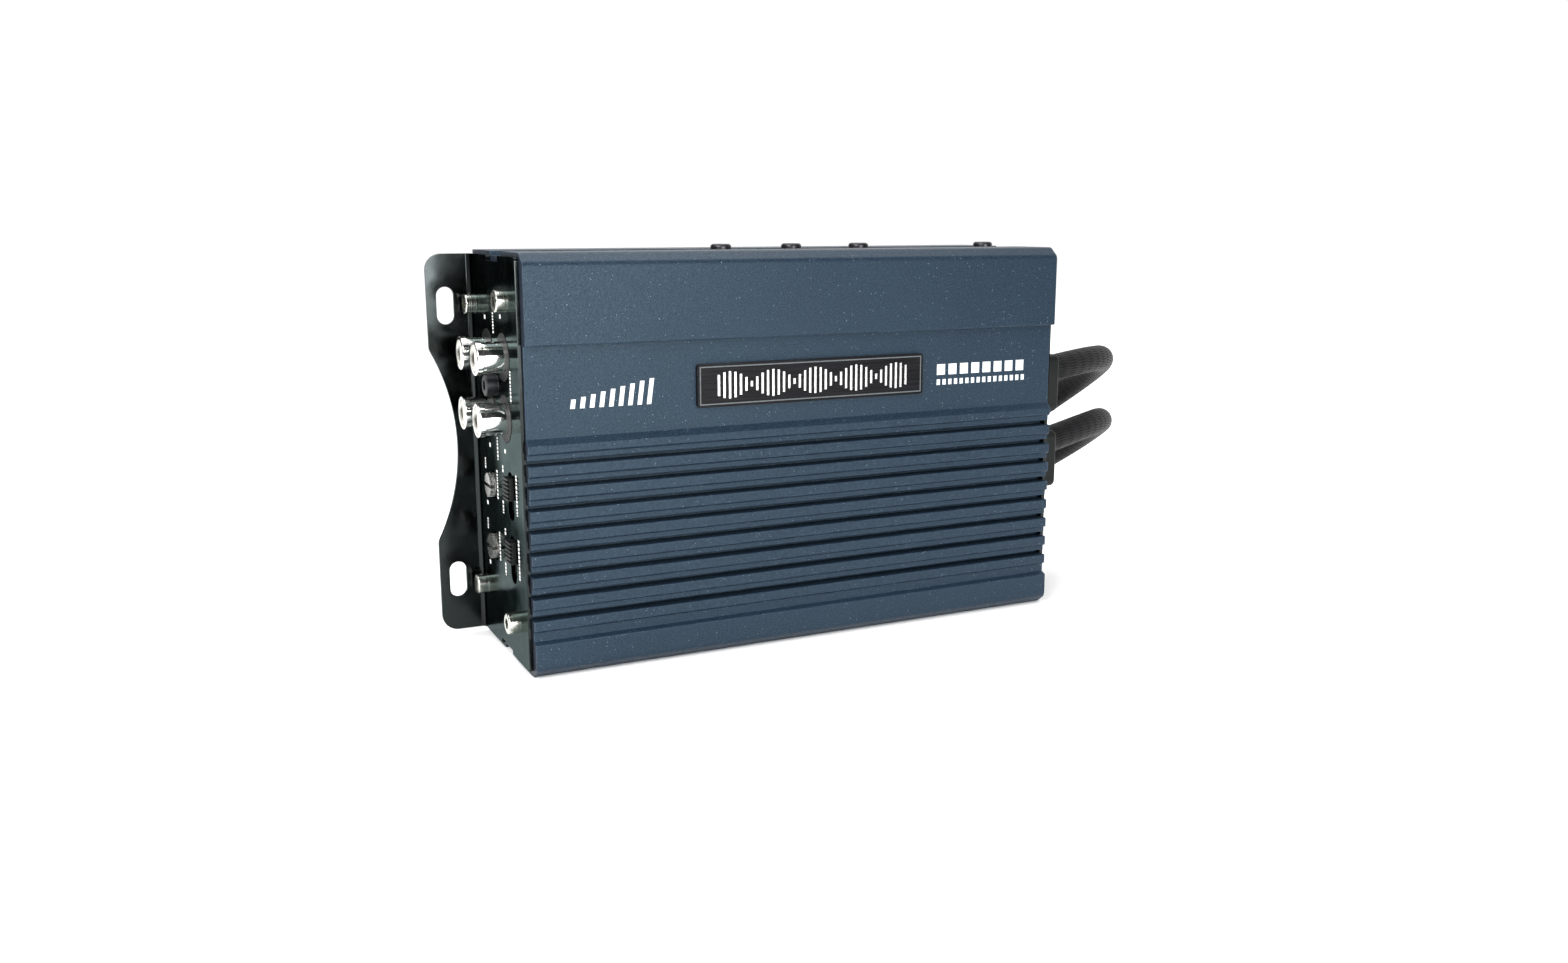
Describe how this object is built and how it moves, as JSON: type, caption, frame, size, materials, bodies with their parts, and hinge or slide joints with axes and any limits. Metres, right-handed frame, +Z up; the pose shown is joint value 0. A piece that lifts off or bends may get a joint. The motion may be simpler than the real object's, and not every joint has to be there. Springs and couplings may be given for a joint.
{
  "type": "car amplifier",
  "caption": "Finned extruded car amplifier with bent flanged end plates, phono inputs, level shafts, crossover slide switches and plugged harness leads.",
  "frame": {"origin": "centre of the underside of the housing as it stands on its long side, midway between the mounting face and the finned face and midway along its length", "axes": "+X along the extrusion from the input end to the output end, +Y from the finned face to the mounting face, +Z up across the width"},
  "size_m": [0.2302, 0.1164, 0.1033],
  "materials": {
    "housing_blue": "fine textured powder coat",
    "base_steel": "satin black paint",
    "end_plate_black": "gloss black paint",
    "screw_nickel": "bright nickel plate",
    "screw_black": "black oxide",
    "plastic_black": "moulded, fine grain",
    "plastic_white": "moulded",
    "shaft_nickel": "knurled, nickel plate",
    "jack_chrome": "polished",
    "board_green": "solder mask on glass laminate",
    "ferrite": "sintered",
    "copper_winding": "enamelled copper wire",
    "capacitor_sleeve": "shrink sleeve",
    "pad_grey": "silicone sheet",
    "badge_black": "gloss",
    "badge_silver": "satin",
    "lead_black": "braided sleeve",
    "pin_brass": "tin-plated brass"
  },
  "bodies": {
    "housing": {"heatsink_shell": "housing_blue", "base_plate": "base_steel", "base_plate_screws": "screw_black", "input_end_plate": "end_plate_black", "output_end_plate": "end_plate_black", "input_plate_screws": "screw_nickel", "output_plate_screws": "screw_nickel", "rca_block": "plastic_black", "rca_shells": "jack_chrome", "rca_insulators": "plastic_white", "rca_contacts": "jack_chrome", "rca_block_screw": "screw_black", "control_board": "board_green", "board_header": "plastic_black", "main_board": "board_green", "board_standoffs": "screw_nickel", "board_screws": "screw_nickel", "toroid_core": "ferrite", "toroid_winding": "copper_winding", "supply_capacitors": "capacitor_sleeve", "output_inductors": "copper_winding", "signal_chip": "plastic_black", "power_transistors": "plastic_black", "insulating_pads": "pad_grey", "transistor_clamps": "base_steel", "clamp_screws": "screw_black", "badge_plate": "badge_black", "badge_emblem": "badge_silver", "power_lead": "lead_black", "speaker_lead": "lead_black", "power_lead_connector": "plastic_black", "speaker_lead_connector": "plastic_black", "power_socket": "plastic_black", "speaker_socket": "plastic_black", "power_plug": "plastic_black", "speaker_plug": "plastic_black", "power_socket_pins": "pin_brass", "speaker_socket_pins": "pin_brass", "front_level_pot": "plastic_black", "front_switch_body": "plastic_black", "rear_level_pot": "plastic_black", "rear_switch_body": "plastic_black"},
    "front_level": {"front_level_shaft": "shaft_nickel"},
    "front_crossover": {"front_switch_slider": "plastic_black"},
    "rear_level": {"rear_level_shaft": "shaft_nickel"},
    "rear_crossover": {"rear_switch_slider": "plastic_black"}
  },
  "joints": [
    {"name": "front_level_turn", "type": "hinge", "parent": "housing", "child": "front_level", "pos_m": [-0.0765, 0.0074, 0.0431], "axis": [-1, 0, 0], "range_deg": [-150, 150]},
    {"name": "front_crossover_slide", "type": "slide", "parent": "housing", "child": "front_crossover", "axis": [0, 0, -1], "range_m": [0, 0.004]},
    {"name": "rear_level_turn", "type": "hinge", "parent": "housing", "child": "rear_level", "pos_m": [-0.0765, 0.0074, 0.0271], "axis": [-1, 0, 0], "range_deg": [-150, 150]},
    {"name": "rear_crossover_slide", "type": "slide", "parent": "housing", "child": "rear_crossover", "axis": [0, 0, -1], "range_m": [0, 0.004]}
  ]
}
